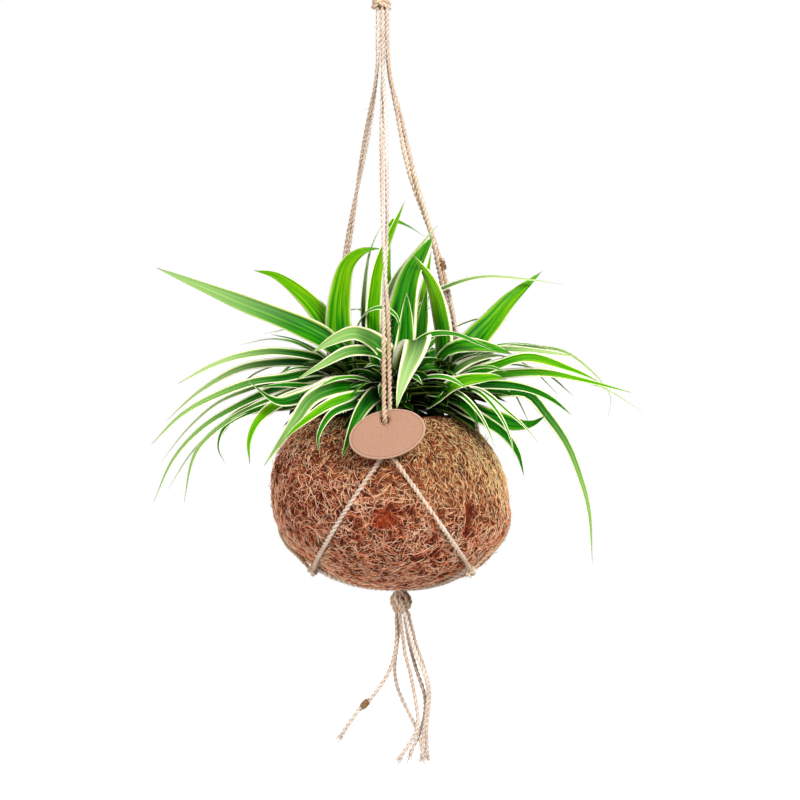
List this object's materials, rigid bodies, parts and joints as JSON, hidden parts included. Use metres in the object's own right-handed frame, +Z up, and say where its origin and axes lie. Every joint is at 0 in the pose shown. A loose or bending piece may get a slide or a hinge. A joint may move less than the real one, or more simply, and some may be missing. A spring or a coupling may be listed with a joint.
{
  "type": "hanging kokedama planter",
  "caption": "Hanging coir ball planter with a variegated spider plant, a knotted jute hanger with loose tails and a bare oval tag.",
  "frame": {"origin": "where a hook bears, at the inside top of the hanging loop", "axes": "+Z up along the hanger, -Y towards the side with the tag, +X to the right of a viewer who faces the tag"},
  "size_m": [0.408, 0.318, 0.6986],
  "materials": {
    "jute": "natural two-ply jute twine, hairy and matte",
    "coir": "pressed coconut fibre, rough, red-brown to golden",
    "soil": "dark soil and roots, matte",
    "leaf": "living leaf, satin, green with cream margins",
    "tag": "thin tan card-like leather, matte"
  },
  "bodies": {
    "root": {"loop_twine_1": "jute", "loop_twine_2": "jute", "loop_twine_3": "jute", "top_knot": "jute", "leg_twine_front_1": "jute", "leg_twine_front_2": "jute", "leg_twine_right_1": "jute", "leg_twine_right_2": "jute", "leg_twine_left_1": "jute", "leg_twine_left_2": "jute", "shoulder_knot_front": "jute", "shoulder_knot_right": "jute", "shoulder_knot_left": "jute", "net_twine_1": "jute", "net_twine_2": "jute", "net_twine_3": "jute", "net_twine_4": "jute", "net_twine_5": "jute", "net_twine_6": "jute", "lower_knot_right": "jute", "lower_knot_back": "jute", "lower_knot_left": "jute", "under_twine_right_1": "jute", "under_twine_right_2": "jute", "under_twine_back_1": "jute", "under_twine_back_2": "jute", "under_twine_left_1": "jute", "under_twine_left_2": "jute", "bottom_knot": "jute", "tail_1": "jute", "tail_2": "jute", "tail_3": "jute", "tail_4": "jute", "tail_5": "jute", "tail_6": "jute", "tag": "tag", "coir_ball": "coir", "root_ball": "soil", "leaves_left": "leaf", "leaves_right": "leaf", "leaves_front": "leaf", "leaves_middle": "leaf", "leaves_back": "leaf"}
  },
  "joints": []
}
